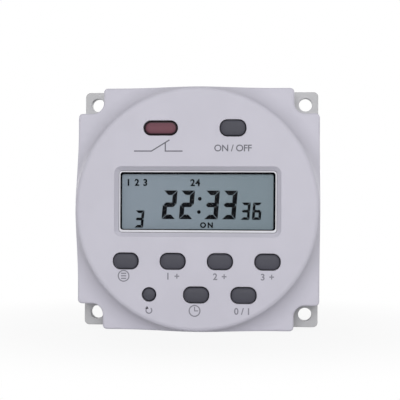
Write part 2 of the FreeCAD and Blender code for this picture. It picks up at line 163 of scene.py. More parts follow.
def screen(red, green, blue):
    """Linear colour of the levels from 0 to 255 that a screen shows."""
    return tuple(((level / 255 + 0.055) / 1.055) ** 2.4 for level in (red, green, blue)) + (1.0,)


class Finish:
    """A material with one Principled shader, and the place on the piece as a wire."""

    def __init__(self, name, **constants):
        self.made = bpy.data.materials.new(name)
        self.made.use_nodes = True
        self.shader = self.made.node_tree.nodes["Principled BSDF"]
        self.wire = Wire(self.made.node_tree)
        self.place = self.wire.node("ShaderNodeTexCoord", {}, {}, "Object")
        for name, value in constants.items():
            self.shader.inputs[name.replace("_", " ")].default_value = value

    def noise(self, size, detail=2.0):
        """Soft noise whose spots have about this size."""
        inputs = {"Vector": self.place, "Scale": 1 / size, "Detail": detail}
        return self.wire.node("ShaderNodeTexNoise", {}, inputs)

    def set(self, **wires):
        """Links wires to the sockets of the shader that the names say."""
        for name, value in wires.items():
            self.made.node_tree.links.new(value.socket, self.shader.inputs[name.replace("_", " ")])

    def bump(self, height, depth):
        """Fine relief: a wire from 0 to 1 as a height of up to this depth."""
        inputs = {"Strength": 1.0, "Distance": depth, "Height": height}
        self.set(Normal=self.wire.node("ShaderNodeBump", {}, inputs, "Normal"))

    def roughen(self, pattern, least, spread):
        """Roughness from its least value up by this spread, as the pattern goes from 0 to 1."""
        self.set(Roughness=least + pattern * spread)


def moulded(name, levels, rough, drift=0.02, grain=MOULD_GRAIN, depth=MOULD_DEEP, **constants):
    """Moulded plastic with a fine eroded grain and slow drifts of tone."""
    finish = Finish(name, **constants)
    dark = screen(*[level * (1 - drift) for level in levels])
    pale = screen(*[min(level * (1 + drift), 255) for level in levels])
    fine = finish.noise(grain)
    finish.set(Base_Color=finish.noise(TONE_SPOT).between(*TONE_RANGE).mix(dark, pale))
    finish.set(Roughness=rough + (fine - 0.5) * ROUGH_DRIFT)
    finish.bump(fine, depth)
    return finish.made


def dress(finish, *names):
    """Gives CAD nodes a material and leaves their shape alone."""
    for name in names:
        nodes[name].data.materials.clear()
        nodes[name].data.materials.append(finish)


def ring(mesh, outline, w):
    """Closed row of points at one height; w counts from the panel towards the viewer."""
    return [mesh.verts.new((x, -w, z)) for x, z in outline]


def wall(mesh, first, second):
    """Faces between two rows of equal length."""
    for i in range(len(first)):
        mesh.faces.new((first[i - 1], first[i], second[i], second[i - 1]))


def sleeve(mesh, levels):
    """Walls through rows given as outline and height. Returns the first and the last row."""
    rows = [ring(mesh, outline, w) for outline, w in levels]
    for first, second in zip(rows, rows[1:]):
        wall(mesh, first, second)
    return rows[0], rows[-1]


def within(spot, sides):
    """Whether a point lies inside an odd number of the rows that these sides belong to."""
    x, z = spot
    odd = False
    for (x0, z0), (x1, z1) in sides:
        if (z0 > z) != (z1 > z) and x < x0 + (z - z0) * (x1 - x0) / (z1 - z0):
            odd = not odd
    return odd


def fill(mesh, *rows):
    """Flat sheet of triangles inside the first row and outside the others."""
    verts = [vert for row in rows for vert in row]
    edges = []
    for row in rows:
        start = len(edges)
        edges += [(start + i, start + (i + 1) % len(row)) for i in range(len(row))]
    flat = [Vector((vert.co.x, vert.co.z)) for vert in verts]
    sides = [(flat[start], flat[end]) for start, end in edges]
    spots, _, triangles, sources, _, _ = delaunay_2d_cdt(flat, edges, [], ALL_INSIDE, TINY / 2)
    for triangle in triangles:
        if within(sum((spots[i] for i in triangle), Vector((0, 0))) / 3, sides):
            mesh.faces.new([verts[sources[i][0]] for i in triangle])


def plate(mesh, outline, w0, w1):
    """Flat plate of any outline."""
    low, high = sleeve(mesh, [(outline, w0), (outline, w1)])
    mesh.faces.new(low)
    mesh.faces.new(high)


def circle(x, z, radius, sides=CIRCLE_SIDES):
    turns = [2 * math.pi * i / sides for i in range(sides)]
    return [(x + radius * math.cos(turn), z + radius * math.sin(turn)) for turn in turns]


def arc(x, z, radius, start, end, steps):
    turns = [math.radians(start + (end - start) * i / steps) for i in range(steps + 1)]
    return [(x + radius * math.cos(turn), z + radius * math.sin(turn)) for turn in turns]


def bend_turns(steps):
    """Even steps of a bend, from 0 to 90 degrees."""
    return [math.radians(90 * i / steps) for i in range(steps + 1)]


def four_times(quarter):
    """Outline of a quarter and its three turned copies."""
    return [(x * c - z * s, x * s + z * c) for c, s in QUARTER_TURNS for x, z in quarter]


def rounded_outline(x, z, wide, tall, radius, grow=0.0):
    """Points round a rounded rectangle; grow widens it evenly."""
    radius = min(radius, wide / 2, tall / 2)
    points = []
    for quarter, (sx, sz) in enumerate(CORNERS):
        corner = (x + sx * (wide / 2 - radius), z + sz * (tall / 2 - radius))
        for spot in arc(*corner, radius + grow, 90 * quarter, 90 * quarter + 90, CORNER_STEPS):
            if not points or math.dist(points[-1], spot) > TINY:
                points.append(spot)
    if math.dist(points[0], points[-1]) < TINY:
        points.pop()
    return points


def make_piece(name, mesh, finish, body):
    """Makes a mesh an object of the part that rides on a body."""
    bmesh.ops.remove_doubles(mesh, verts=mesh.verts, dist=TINY / 2)
    bmesh.ops.recalc_face_normals(mesh, faces=mesh.faces)
    data = bpy.data.meshes.new(name)
    mesh.to_mesh(data)
    mesh.free()
    data.shade_smooth()
    data.set_sharp_from_angle(angle=SHARP)
    data.materials.append(finish)
    piece = bpy.data.objects.new(name, data)
    bpy.context.scene.collection.objects.link(piece)
    piece.modifiers.new("shading", "WEIGHTED_NORMAL").keep_sharp = True
    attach(piece, body)
    return piece


def round_tab(tab, away, radius, grow=0.0):
    """Outline at this distance round a tab."""
    low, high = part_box(tab)
    wide, tall = high.x - low.x + 2 * away, high.z - low.z + 2 * away
    return rounded_outline((low.x + high.x) / 2, (low.z + high.z) / 2, wide, tall, radius, grow)


housing_plastic = moulded("housing plastic", HOUSING_GREY, 0.5)
tabs = ["terminal_%d" % number for number in range(1, 6)]
half = cad_box[1].x
box_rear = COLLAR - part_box("rear_housing")[1].y
box_floor = box_rear + BOX_WALL
box_half = half - BOX_STEP
room = box_half - BOX_WALL
screw_at = half - SCREW_IN
seat = -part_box("case_screws")[1].y + HEAD_TALL
well_top = seat + WELL_FLOOR
well_in = screw_at - WELL_R - WELL_WALL

mesh = bmesh.new()
plate_shape = (0, 0, 2 * half, 2 * half, EAR_CORNER_R)
bends = [(rounded_outline(*plate_shape, grow=-inward * HOUSING_EDGE), down * HOUSING_EDGE)
         for inward, down in PLATE_BEND]
levels = [(outline, PLATE - down) for outline, down in bends]
plate_top, plate_low = sleeve(mesh, levels + bends[::-1])
ear_tops = []
ear_lows = []
for sx, sz in CORNERS:
    x, z = sx * (half - EAR_EDGE), sz * (half - EAR_EDGE)
    bore = circle(x, z, EAR_HOLE_R)
    mouth = circle(x, z, EAR_HOLE_R + EAR_HOLE_EDGE)
    levels = [(mouth, PLATE), (bore, PLATE - EAR_HOLE_EDGE), (bore, EAR_HOLE_EDGE), (mouth, 0)]
    top, low = sleeve(mesh, levels)
    ear_tops.append(top)
    ear_lows.append(low)

box_shape = (0, 0, 2 * box_half, 2 * box_half, BOX_R)
levels = [(rounded_outline(*box_shape), 0)]
for turn in bend_turns(BOX_EDGE_STEPS):
    outline = rounded_outline(*box_shape, grow=BOX_EDGE * (math.cos(turn) - 1))
    levels.append((outline, box_rear + BOX_EDGE * (1 - math.sin(turn))))
box_top, box_low = sleeve(mesh, levels)
fill(mesh, plate_low, box_top, *ear_lows)

room_arc = arc(room - ROOM_R, room - ROOM_R, ROOM_R, 0, 90, ROOM_STEPS)
cavity = four_times([(room, well_in), *room_arc, (well_in, room)])
stepped = four_times([(room, well_in), (well_in, well_in), (well_in, room)])
room_top, room_low = sleeve(mesh, [(cavity, PLATE), (cavity, well_top)])
fill(mesh, plate_top, room_top, *ear_tops)
step_top, step_low = sleeve(mesh, [(stepped, well_top), (stepped, box_floor)])
well_lows = []
for number, (sx, sz) in enumerate(CORNERS):
    x, z = sx * screw_at, sz * screw_at
    well, bore = circle(x, z, WELL_R), circle(x, z, BORE_R)
    levels = [(circle(x, z, WELL_R + HOLE_EDGE), box_rear), (well, box_rear + HOLE_EDGE), (well, seat)]
    low, floor_row = sleeve(mesh, levels)
    bore_low, bore_top = sleeve(mesh, [(bore, seat), (bore, well_top)])
    fill(mesh, floor_row, bore_low)
    share = len(room_low) // len(CORNERS)
    corner = room_low[number * share:(number + 1) * share]
    inner = step_top[number * len(step_top) // len(CORNERS) + 1]
    fill(mesh, corner + [inner], bore_top)
    well_lows.append(low)

collar_lows = []
slot_tops = []
for tab in tabs:
    collar = round_tab(tab, COLLAR, COLLAR / 2)
    slot = round_tab(tab, SLOT_AIR, SLOT_AIR)
    levels = [(collar, box_rear), (collar, box_rear - COLLAR + HOLE_EDGE),
              (round_tab(tab, COLLAR, COLLAR / 2, -HOLE_EDGE), box_rear - COLLAR)]
    low, tip = sleeve(mesh, levels)
    opened, slot_top = sleeve(mesh, [(slot, box_rear - COLLAR), (slot, box_floor)])
    fill(mesh, tip, opened)
    collar_lows.append(low)
    slot_tops.append(slot_top)
fill(mesh, box_low, *well_lows, *collar_lows)
fill(mesh, step_low, *slot_tops)

rib_at = half - RIB_IN
for side in (-1, 1):
    upright = rounded_outline(side * rib_at, 0, RIB_WALL, RIB_LONG, HOLE_EDGE)
    plate(mesh, upright, PLATE, PLATE + RIB_TALL)
    plate(mesh, [(z, x) for x, z in upright], PLATE, PLATE + RIB_TALL)
    for end in (-1, 1):
        post = rounded_outline(side * (room - POST_IN), end * POST_Z, POST, POST, HOLE_EDGE)
        plate(mesh, post, box_floor, -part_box("power_board")[1].y)
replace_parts(make_piece("housing_moulding", mesh, housing_plastic, "timer"), "rear_housing")


# Terminals: five flat tabs for push-on receptacles, punched from tin-plated brass.
# They are soldered in the rear board and stand out through slots in the box.
TIN_DULL = (168, 162, 146)
TIN_BRIGHT = (206, 200, 184)
TIN_GRAIN = 0.15 * mm
TIN_DEEP = 0.004 * mm
TIN_ROUGH = (0.28, 0.2)
TARNISH_SPOT = 1.6 * mm
TARNISH_DETAIL = 4.0
TARNISH_RANGE = (0.35, 0.7)

tin = Finish("tinned brass", Metallic=1.0)
tarnish = tin.noise(TARNISH_SPOT, TARNISH_DETAIL)
tin.set(Base_Color=tarnish.between(*TARNISH_RANGE).mix(screen(*TIN_DULL), screen(*TIN_BRIGHT)))
tin.roughen(tarnish, *TIN_ROUGH)
tin.bump(tin.noise(TIN_GRAIN), TIN_DEEP)
dress(tin.made, *tabs)


# Boards: two sheets of green laminate with a satin solder mask that shows the weave faintly.
# The rear one rests on posts in the box, and the front one is clamped between cover and housing.
MASK_DARK = (22, 74, 44)
MASK_PALE = (34, 98, 58)
MASK_SPOT = 3 * mm
WEAVE = 0.5 * mm
WEAVE_DEEP = 0.01 * mm


def weave(finish, pitch):
    """Height of a plain weave in the plane of a board."""
    across = (finish.place.axis("X") * (math.pi / pitch)).math("SINE")
    along = (finish.place.axis("Z") * (math.pi / pitch)).math("SINE")
    return across * along


mask = Finish("solder mask", Roughness=0.35)
cloudy = mask.noise(MASK_SPOT).between(*TONE_RANGE)
mask.set(Base_Color=cloudy.mix(screen(*MASK_DARK), screen(*MASK_PALE)))
mask.bump(weave(mask, WEAVE), WEAVE_DEEP)
dress(mask.made, "power_board", "control_board")


# Bought parts: relay, capacitors, rectifier, driver, controller, cell, crystal, lamp, switches and the like.
# They are moulded, dipped or drawn in metal. The ribbon between the boards, the white frame of the display
# and its two rubber contact strips are dressed here too.
# This black colours the moulded parts and also serves as painted shade in the ribbon's grooves.
BLACK_AND_GROOVE_SHADE = (38, 38, 40)
CASE_YELLOW = (208, 186, 78)
DIP_BLUE = (44, 84, 148)
DIP_GRAIN = 0.8 * mm
DIP_DEEP = 0.02 * mm
EPOXY_RED = (176, 40, 40)
WHITE_FRAME = (228, 228, 222)
NICKEL = (196, 194, 190)
NICKEL_SPOT = 2 * mm
NICKEL_GRAIN = 0.6 * mm
NICKEL_ROUGH = (0.22, 0.16)
BODY_BLUE = (116, 160, 178)
BAND_BROWN = (84, 48, 30)
BAND_STEP = 1.3 * mm
BAND_WIDE = 0.25 * mm
BAND_BLUR = 0.05
RIBBON_GREY = (150, 150, 154)
RIBBON_PITCH = 1.27 * mm
GROOVE_SHADE = (0.3, 0.5)
GROOVE_WALL = (0.2, 0.5)
GROOVE_DEEP = 0.15 * mm
RUBBER_PINK = (206, 128, 140)
CARBON = (30, 30, 32)
STRIPE = 0.5 * mm
STRIPE_EDGE = (0.45, 0.55)

keys = ["manual", "program", "day", "hour", "minute", "reset", "clock", "recall"]
black = moulded("black moulding", BLACK_AND_GROOVE_SHADE, 0.42)
dress(black, "relay", "controller_chip", "smoothing_capacitor", "bridge_rectifier", "driver_transistor")
dress(black, *["switch_" + key for key in keys])
dress(black, *["plunger_" + key for key in keys])
dress(moulded("capacitor case", CASE_YELLOW, 0.35), "dropper_capacitor")
dress(moulded("dipped varistor", DIP_BLUE, 0.3, grain=DIP_GRAIN, depth=DIP_DEEP), "surge_varistor")
dress(moulded("lamp epoxy", EPOXY_RED, 0.15), "indicator_led")
dress(moulded("white frame", WHITE_FRAME, 0.5), "lcd_holder")

nickel = Finish("nickel", Metallic=1.0)
nickel.set(Base_Color=nickel.noise(NICKEL_SPOT).mix(screen(*TIN_DULL), screen(*NICKEL)))
nickel.roughen(nickel.noise(NICKEL_GRAIN), *NICKEL_ROUGH)
dress(nickel.made, "crystal", "backup_cell", "cell_strap")

lacquer = Finish("resistor lacquer", Roughness=0.3)
resistor_low, resistor_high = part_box("input_resistor")
from_middle = lacquer.place.axis("Z") - (resistor_low.z + resistor_high.z) / 2
from_band = abs((from_middle * (1 / BAND_STEP)).math("FRACT") - 0.5)
past_band = from_band.between(BAND_WIDE / BAND_STEP, BAND_WIDE / BAND_STEP + BAND_BLUR)
lacquer.set(Base_Color=past_band.mix(screen(*BAND_BROWN), screen(*BODY_BLUE)))
dress(lacquer.made, "input_resistor")

# Painted shade: the grooves between the wires are coloured dark, as well as sunk by the bump.
sheath = Finish("ribbon sheath", Roughness=0.5)
groove = abs((sheath.place.axis("Z") * (1 / RIBBON_PITCH)).math("FRACT") - 0.5)
sheath.set(Base_Color=groove.between(*GROOVE_SHADE).mix(screen(*RIBBON_GREY), screen(*BLACK_AND_GROOVE_SHADE)))
sheath.bump(1 - groove.between(*GROOVE_WALL), GROOVE_DEEP)
dress(sheath.made, "link_ribbon")

stripes = Finish("contact rubber", Roughness=0.6)
layer = (stripes.place.axis("X") * (1 / STRIPE)).math("FRACT").between(*STRIPE_EDGE)
stripes.set(Base_Color=layer.mix(screen(*RUBBER_PINK), screen(*CARBON)))
dress(stripes.made, "contact_strip_upper", "contact_strip_lower")


# Display: a liquid crystal glass behind the window, grey green, with dark figures on it.
# The figures are etched electrodes in the glass, here thin plates on its front.
GLASS_LEFT = (130, 143, 154)
GLASS_RIGHT = (118, 134, 143)
GLASS_SPAN = (-16 * mm, 17 * mm)
GLASS_CLOUD = 12 * mm
GLASS_GRAIN = 0.1 * mm
GLASS_DEEP = 0.002 * mm
INK_AND_SHADOW = (5, 7, 12)
INK_TALL = 0.04 * mm
SIGN_WEIGHT = 0.08 * mm
BIG_TALL = 7.05 * mm
BIG_WIDE = 3.4 * mm
BIG_STROKE = 1.12 * mm
SMALL_TALL = 4.25 * mm
SMALL_WIDE = 2.2 * mm
SMALL_STROKE = 0.66 * mm
SLANT = math.tan(math.radians(4.5))
GAP = 0.085 * mm
SMALL_GAP = 0.055 * mm
MIDDLE_IN = 0.12 * mm
BIG_FOOT = -2.5 * mm
BIG_PLACES = (-8.84 * mm, -4.55 * mm, 1.6 * mm, 5.98 * mm)
SMALL_FOOT = -2.6 * mm
SMALL_PLACES = (10.59 * mm, 13.38 * mm)
DAY_FOOT = -4.65 * mm
DAY_PLACE = -15.61 * mm
FIGURES = (
    ("2233", BIG_PLACES, BIG_FOOT, (BIG_TALL, BIG_WIDE, BIG_STROKE, GAP)),
    ("36", SMALL_PLACES, SMALL_FOOT, (SMALL_TALL, SMALL_WIDE, SMALL_STROKE, SMALL_GAP)),
    ("3", (DAY_PLACE,), DAY_FOOT, (SMALL_TALL, SMALL_WIDE, SMALL_STROKE, SMALL_GAP)),
)
DOT_R = 0.47 * mm
DOT_SIDES = 20
DOTS = ((0.6 * mm, 2.52 * mm), (0.38 * mm, -0.72 * mm))
SIGNS = (
    ("display_numbers", "1 2 3", -15.0 * mm, 6.5 * mm, 1.75 * mm, 1.15),
    ("display_count", "24", -0.55 * mm, 6.5 * mm, 1.75 * mm, 1.1),
    ("display_state", "ON", 2.3 * mm, -3.95 * mm, 1.4 * mm, 1.4),
)
PARTS = {"2": "abged", "3": "abgcd", "6": "afgedc"}
FIT_ROUNDS = 3


def stroke_shapes(wide, tall, t, g):
    """The seven bars of a figure, mitred, with narrow gaps."""
    middle = tall / 2
    bars = {"a": ((g, tall), (wide - g, tall), (wide - g - t, tall - t), (g + t, tall - t))}
    bars["d"] = [(x, tall - z) for x, z in bars["a"]]
    inner = middle + t / 2 + g
    bars["b"] = ((wide, tall - g), (wide, middle + g), (wide - t, inner), (wide - t, tall - g - t))
    bars["f"] = [(wide - x, z) for x, z in bars["b"]]
    bars["c"] = [(x, tall - z) for x, z in bars["b"]]
    bars["e"] = [(x, tall - z) for x, z in bars["f"]]
    start, point = g + MIDDLE_IN, t / 2
    upper = ((start, middle), (start + point, middle + point), (wide - start - point, middle + point))
    lower = ((wide - start, middle), (wide - start - point, middle - point), (start + point, middle - point))
    bars["g"] = upper + lower
    return bars


def figure(mesh, sign, x, z, tall, wide, stroke, gap, w):
    """One slanted figure of the display, from its lower left corner."""
    bars = stroke_shapes(wide, tall, stroke, gap)
    for letter in PARTS[sign]:
        outline = [(x + px + pz * SLANT, z + pz) for px, pz in bars[letter]]
        plate(mesh, outline, w, w + INK_TALL)


def lettering(name, text, x, z, tall, w, finish, weight, spacing=1.0):
    """Flat print of plain signs, centred on a point and fitted to a height; weight thickens their strokes."""
    data = bpy.data.curves.new(name, "FONT")
    data.body = text
    data.align_x = "CENTER"
    data.space_character = spacing
    data.extrude = INK_TALL / 2
    data.offset = weight
    drawn = bpy.data.objects.new(name, data)
    bpy.context.scene.collection.objects.link(drawn)
    for _ in range(FIT_ROUNDS):
        bpy.context.view_layer.update()
        data.size *= tall / drawn.dimensions.y
    bpy.context.view_layer.update()
    graph = bpy.context.evaluated_depsgraph_get()
    mesh = bmesh.new()
    mesh.from_mesh(bpy.data.meshes.new_from_object(drawn.evaluated_get(graph)))
    bpy.data.objects.remove(drawn)
    foot = min(vert.co.y for vert in mesh.verts)
    for vert in mesh.verts:
        vert.co = (x + vert.co.x, -w - INK_TALL / 2 - vert.co.z, z - tall / 2 + vert.co.y - foot)
    make_piece(name, mesh, finish, "timer")


glass_front = -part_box("lcd_panel")[0].y
glass = Finish("display glass", Roughness=0.4, Specular_IOR_Level=0.2)
cloud = (glass.noise(GLASS_CLOUD) - 0.5) * GLASS_CLOUD
rightward = (glass.place.axis("X") + cloud).between(*GLASS_SPAN)
glass.set(Base_Color=rightward.mix(screen(*GLASS_LEFT), screen(*GLASS_RIGHT)))
glass.bump(glass.noise(GLASS_GRAIN), GLASS_DEEP)
dress(glass.made, "lcd_panel")

# Black for the figures, dots and signs, and also for the painted shadow round the pane.
ink_and_shadow = moulded("display ink", INK_AND_SHADOW, 0.6, drift=0.05, Specular_IOR_Level=0.01)
mesh = bmesh.new()
for signs, places, foot, sizes in FIGURES:
    for sign, place in zip(signs, places):
        figure(mesh, sign, place, foot, *sizes, glass_front)
for x, z in DOTS:
    plate(mesh, circle(x, z, DOT_R, DOT_SIDES), glass_front, glass_front + INK_TALL)
make_piece("display_figures", mesh, ink_and_shadow, "timer")
for name, text, x, z, tall, spacing in SIGNS:
    lettering(name, text, x, z, tall, glass_front, ink_and_shadow, SIGN_WEIGHT, spacing)


# Front cover: one thin moulding of pale grey plastic, with a round dial that falls through a hollow ramp
# to a square flange. The keys, the lamp and the display show through it, and screws hold it from behind.
FACE_GREY = (197, 195, 206)
FLANGE = 12.0 * mm
DIAL_R = 29.9 * mm
RIM_ROUND = 1.3 * mm
RIM_STEPS = 7
RAMP_STEEP = math.radians(69)
RAMP_STEPS = 14
RAMP_FOOT = 1.5 * mm
NOTCH = 6.3 * mm
NOTCH_R = 2.7 * mm
NOTCH_STEPS = 12
TIP_R = 1.0 * mm
TIP_STEPS = 4
SIDE_STEPS = 60
WALL = 2.0 * mm
OUTER_EDGE = 0.5 * mm
OUTER_EDGE_STEPS = 6
FOOT_EDGE = 0.2 * mm
HOLE_EDGE_STEPS = 3
KEY_LIP = 0.5 * mm
LAMP_LIP = 0.6 * mm
KEY_END_R = 1.9 * mm
PANE_LIP = 1.1 * mm
SHOW_R = 0.8 * mm
BEVEL = 0.95 * mm
BEVEL_DEEP = 1.15 * mm
PILLAR = 5.0 * mm
PILLAR_TOP_IN = 2.0 * mm
PILOT_R = 1.35 * mm
PILOT_TOP = 6.5 * mm

face = -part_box("front_cover")[0].y
ceiling = face - WALL
ramp_r = (face - FLANGE) / (1 - math.cos(RAMP_STEEP)) - RIM_ROUND
ramp_from = DIAL_R - RIM_ROUND * math.sin(RAMP_STEEP)
ramp_turn = DIAL_R
ramp_to = DIAL_R + ramp_r * math.sin(RAMP_STEEP)


def notched_outline(inset):
    """Points round the square with its four notches, pulled in evenly by inset."""
    out = half - inset
    inner = half - NOTCH - inset
    tip = max(TIP_R - inset, 0)
    centre = half - NOTCH + NOTCH_R
    reach = inner - tip
    quarter = [(out, reach * (2 * i / SIDE_STEPS - 1)) for i in range(SIDE_STEPS)]
    quarter += arc(out - tip, inner - tip, tip, 0, 90, TIP_STEPS)
    quarter.append(((out - tip + centre) / 2, inner))
    quarter += arc(centre, centre, NOTCH_R + inset, 270, 180, NOTCH_STEPS)
    quarter.append((inner, (out - tip + centre) / 2))
    quarter += arc(inner - tip, out - tip, tip, 0, 90, TIP_STEPS)[:-1]
    return four_times(quarter)


def surface(r):
    """Height of the cover at a distance r from the dial's axis."""
    if r <= ramp_from:
        return face
    if r <= ramp_turn:
        return face - RIM_ROUND + math.sqrt(RIM_ROUND ** 2 - (r - ramp_from) ** 2)
    if r < ramp_to:
        return FLANGE + ramp_r - math.sqrt(ramp_r ** 2 - (ramp_to - r) ** 2)
    return FLANGE


def on_rays(mesh, outline, radius, height=None):
    """Row of points at this radius on the rays through an outline, or on the outline where it is nearer."""
    row = []
    for x, z in outline:
        far = math.hypot(x, z)
        near = min(radius, far)
        w = surface(near) if height is None else height
        row.append(mesh.verts.new((x * near / far, -w, z * near / far)))
    return row


def eased(shape):
    """Levels of a rounded edge that turns down from the face into a hole."""
    levels = []
    for turn in bend_turns(HOLE_EDGE_STEPS):
        outline = rounded_outline(*shape, grow=HOLE_EDGE * (1 - math.sin(turn)))
        levels.append((outline, face - HOLE_EDGE * (1 - math.cos(turn))))
    return levels


def opening(node, lip):
    """Centre, width and height of a hole, from the lip of the piece that stands in it."""
    low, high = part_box(node)
    return (low.x + high.x) / 2, (low.z + high.z) / 2, high.x - low.x - 2 * lip, high.z - low.z - 2 * lip


def lean(r):
    """Angle at which the cover falls away at this distance from the dial's axis."""
    if ramp_from < r <= ramp_turn:
        return math.asin((r - ramp_from) / RIM_ROUND)
    if ramp_turn < r < ramp_to:
        return math.asin((ramp_to - r) / ramp_r)
    return 0.0


pale_plastic = moulded("pale plastic", FACE_GREY, 0.55, drift=0.006, Specular_IOR_Level=0.3)
mesh = bmesh.new()
border = []
for spot, inset_spot in zip(notched_outline(0), notched_outline(OUTER_EDGE)):
    spot, inset_spot = Vector(spot), Vector(inset_spot)
    outward = (spot - inset_spot).normalized().dot(spot.normalized())
    border.append((spot, inset_spot, math.atan(math.tan(lean(spot.length)) * max(outward, 0))))
edge_line = [spot.lerp(inset_spot, 1 - math.sin(fall)) for spot, inset_spot, fall in border]
radii = [ramp_from + RIM_ROUND * math.sin(RAMP_STEEP * i / RIM_STEPS) for i in range(RIM_STEPS + 1)]
ramp_falls = [RAMP_STEEP * (1 - i / RAMP_STEPS) for i in range(1, RAMP_STEPS + 1)]
radii += [ramp_to - ramp_r * math.sin(fall) for fall in ramp_falls]
radii += [ramp_to + RAMP_FOOT, 2 * half]
rows = [on_rays(mesh, edge_line, radius) for radius in radii]
for i in range(1, OUTER_EDGE_STEPS + 1):
    row = []
    for (spot, inset_spot, fall), start in zip(border, edge_line):
        turn = fall + (math.pi / 2 - fall) * i / OUTER_EDGE_STEPS
        x, z = spot.lerp(inset_spot, 1 - math.sin(turn))
        w = surface(start.length) - OUTER_EDGE * (math.cos(fall) - math.cos(turn))
        row.append(mesh.verts.new((x, -w, z)))
    rows.append(row)
rows.append(ring(mesh, notched_outline(0), PLATE + FOOT_EDGE))
rows.append(ring(mesh, notched_outline(FOOT_EDGE), PLATE))
inside = notched_outline(WALL)
rows.append(ring(mesh, inside, PLATE))
rows.append(ring(mesh, inside, FLANGE - WALL))
rows.append(on_rays(mesh, inside, DIAL_R, FLANGE - WALL))
rows.append(on_rays(mesh, inside, DIAL_R - WALL, ceiling))
for first, second in zip(rows, rows[1:]):
    wall(mesh, first, second)

tops = []
bottoms = []
holes = [(*opening("key_" + key, KEY_LIP), KEY_END_R) for key in keys]
holes.append((*opening("indicator_lens", LAMP_LIP), half))
for hole in holes:
    top, bottom = sleeve(mesh, eased(hole) + [(rounded_outline(*hole), ceiling)])
    tops.append(top)
    bottoms.append(bottom)
show = opening("display_window", PANE_LIP)
frame_shape = (show[0], show[1], show[2] + 2 * BEVEL, show[3] + 2 * BEVEL, SHOW_R + BEVEL)
show_outline = rounded_outline(*show, SHOW_R)
levels = eased(frame_shape)[:-1] + [(show_outline, face - BEVEL_DEEP), (show_outline, ceiling)]
top, bottom = sleeve(mesh, levels)
fill(mesh, rows[0], *tops, top)
fill(mesh, rows[-1], *bottoms, bottom)
for sx, sz in CORNERS:
    x, z = sx * screw_at, sz * screw_at
    pilot = circle(x, z, PILOT_R)
    square = rounded_outline(x, z, PILLAR, PILLAR, HOLE_EDGE)
    first, last = sleeve(mesh, [(pilot, PILOT_TOP), (pilot, well_top)])
    mesh.faces.new(first)
    low, high = sleeve(mesh, [(square, well_top), (square, FLANGE - WALL / 2)])
    fill(mesh, low, last)
    mesh.faces.new(high)
    shift = PILLAR_TOP_IN / 2 - HOLE_EDGE
    narrow = PILLAR - PILLAR_TOP_IN - HOLE_EDGE
    upper = rounded_outline(x - sx * shift, z - sz * shift, narrow, narrow, HOLE_EDGE)
    plate(mesh, upper, FLANGE - WALL / 2 - HOLE_EDGE, ceiling + HOLE_EDGE)
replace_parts(make_piece("cover_moulding", mesh, pale_plastic, "timer"), "front_cover")


# Display window: a clear polished pane in the bevelled opening, with a lip glued behind the cover.
# A pale margin is printed round its front, and a black band of painted shadow lies round its back.
PANE_DARK = (46, 52, 58)
PANE_PALE = (62, 68, 74)
PANE_EDGE = 0.05 * mm
PANE_GAP = 0.05 * mm
PANE_AIR = 0.2 * mm
HAZE_SPOT = 4 * mm
MARGIN_GREY = (210, 210, 216)
# Edges of the painted shadow round the display; the printed margin ends at the outer one.
SHADOW_OUTER = (0.0, 0.13 * mm, 38.04 * mm, 14.2 * mm, 0.7 * mm)
SHADOW_INNER = (-0.15 * mm, 0.0, 37.3 * mm, 13.5 * mm, 0.45 * mm)


def strip(mesh, outer, inner, w0, w1):
    """Flat closed strip between two outlines."""
    rows = [ring(mesh, outer, w0), ring(mesh, outer, w1), ring(mesh, inner, w1), ring(mesh, inner, w0)]
    for first, second in zip(rows, rows[1:] + rows[:1]):
        wall(mesh, first, second)


pane_low, pane_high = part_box("display_window")
pane_front = -pane_low.y
pane_back = -pane_high.y + PANE_AIR
clear = Finish("clear pane", Alpha=0.02, Roughness=0.08)
clear.set(Base_Color=clear.noise(HAZE_SPOT).mix(screen(*PANE_DARK), screen(*PANE_PALE)))
mesh = bmesh.new()
pane = (show[0], show[1], show[2] - 2 * PANE_GAP, show[3] - 2 * PANE_GAP, SHOW_R)
lip = (show[0], show[1], show[2] + 2 * PANE_LIP, show[3] + 2 * PANE_LIP, SHOW_R)
pane_outline, lip_outline = rounded_outline(*pane), rounded_outline(*lip)
edge = rounded_outline(*pane, grow=-PANE_EDGE)
levels = [(edge, pane_front), (pane_outline, pane_front - PANE_EDGE), (pane_outline, ceiling),
          (lip_outline, ceiling), (lip_outline, pane_back)]
top, bottom = sleeve(mesh, levels)
mesh.faces.new(top)
mesh.faces.new(bottom)
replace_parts(make_piece("clear_pane", mesh, clear.made, "timer"), "display_window")

shadow_outer = (show[0] + SHADOW_OUTER[0], show[1] + SHADOW_OUTER[1], *SHADOW_OUTER[2:])
shadow_inner = (show[0] + SHADOW_INNER[0], show[1] + SHADOW_INNER[1], *SHADOW_INNER[2:])
margin_print = moulded("pane margin", MARGIN_GREY, 0.5)
mesh = bmesh.new()
strip(mesh, edge, rounded_outline(*shadow_outer), pane_front, pane_front + INK_TALL)
make_piece("pane_margin", mesh, margin_print, "timer")
# Painted shadow: a black band round the back of the pane where the recess shades the display, wider at top
# and right.
mesh = bmesh.new()
strip(mesh, lip_outline, rounded_outline(*shadow_inner), pane_back - INK_TALL, pane_back)
make_piece("painted_pane_shadow", mesh, ink_and_shadow, "timer")


# Indicator window: a dark red frosted insert, let in just below the face, with a lip behind it.
# It is lit from behind by the lamp on the board, which is off here. A painted shadow darkens its edge.
LENS_SHADOW = (34, 18, 24)
LENS_RED = (95, 53, 65)
LENS_PALE = (106, 62, 73)
LENS_GAP = 0.25 * mm
LENS_EDGE = 0.3 * mm
LENS_BEND = ((3.0, 0.0), (1.0, 0.1), (0.3, 0.4), (0.0, 1.0))
LENS_SHADOW_WIDE = 0.35 * mm
LENS_SHADOW_BLUR = 0.4 * LENS_SHADOW_WIDE
LENS_GRAIN = 0.3 * mm
LENS_DEEP = 0.01 * mm

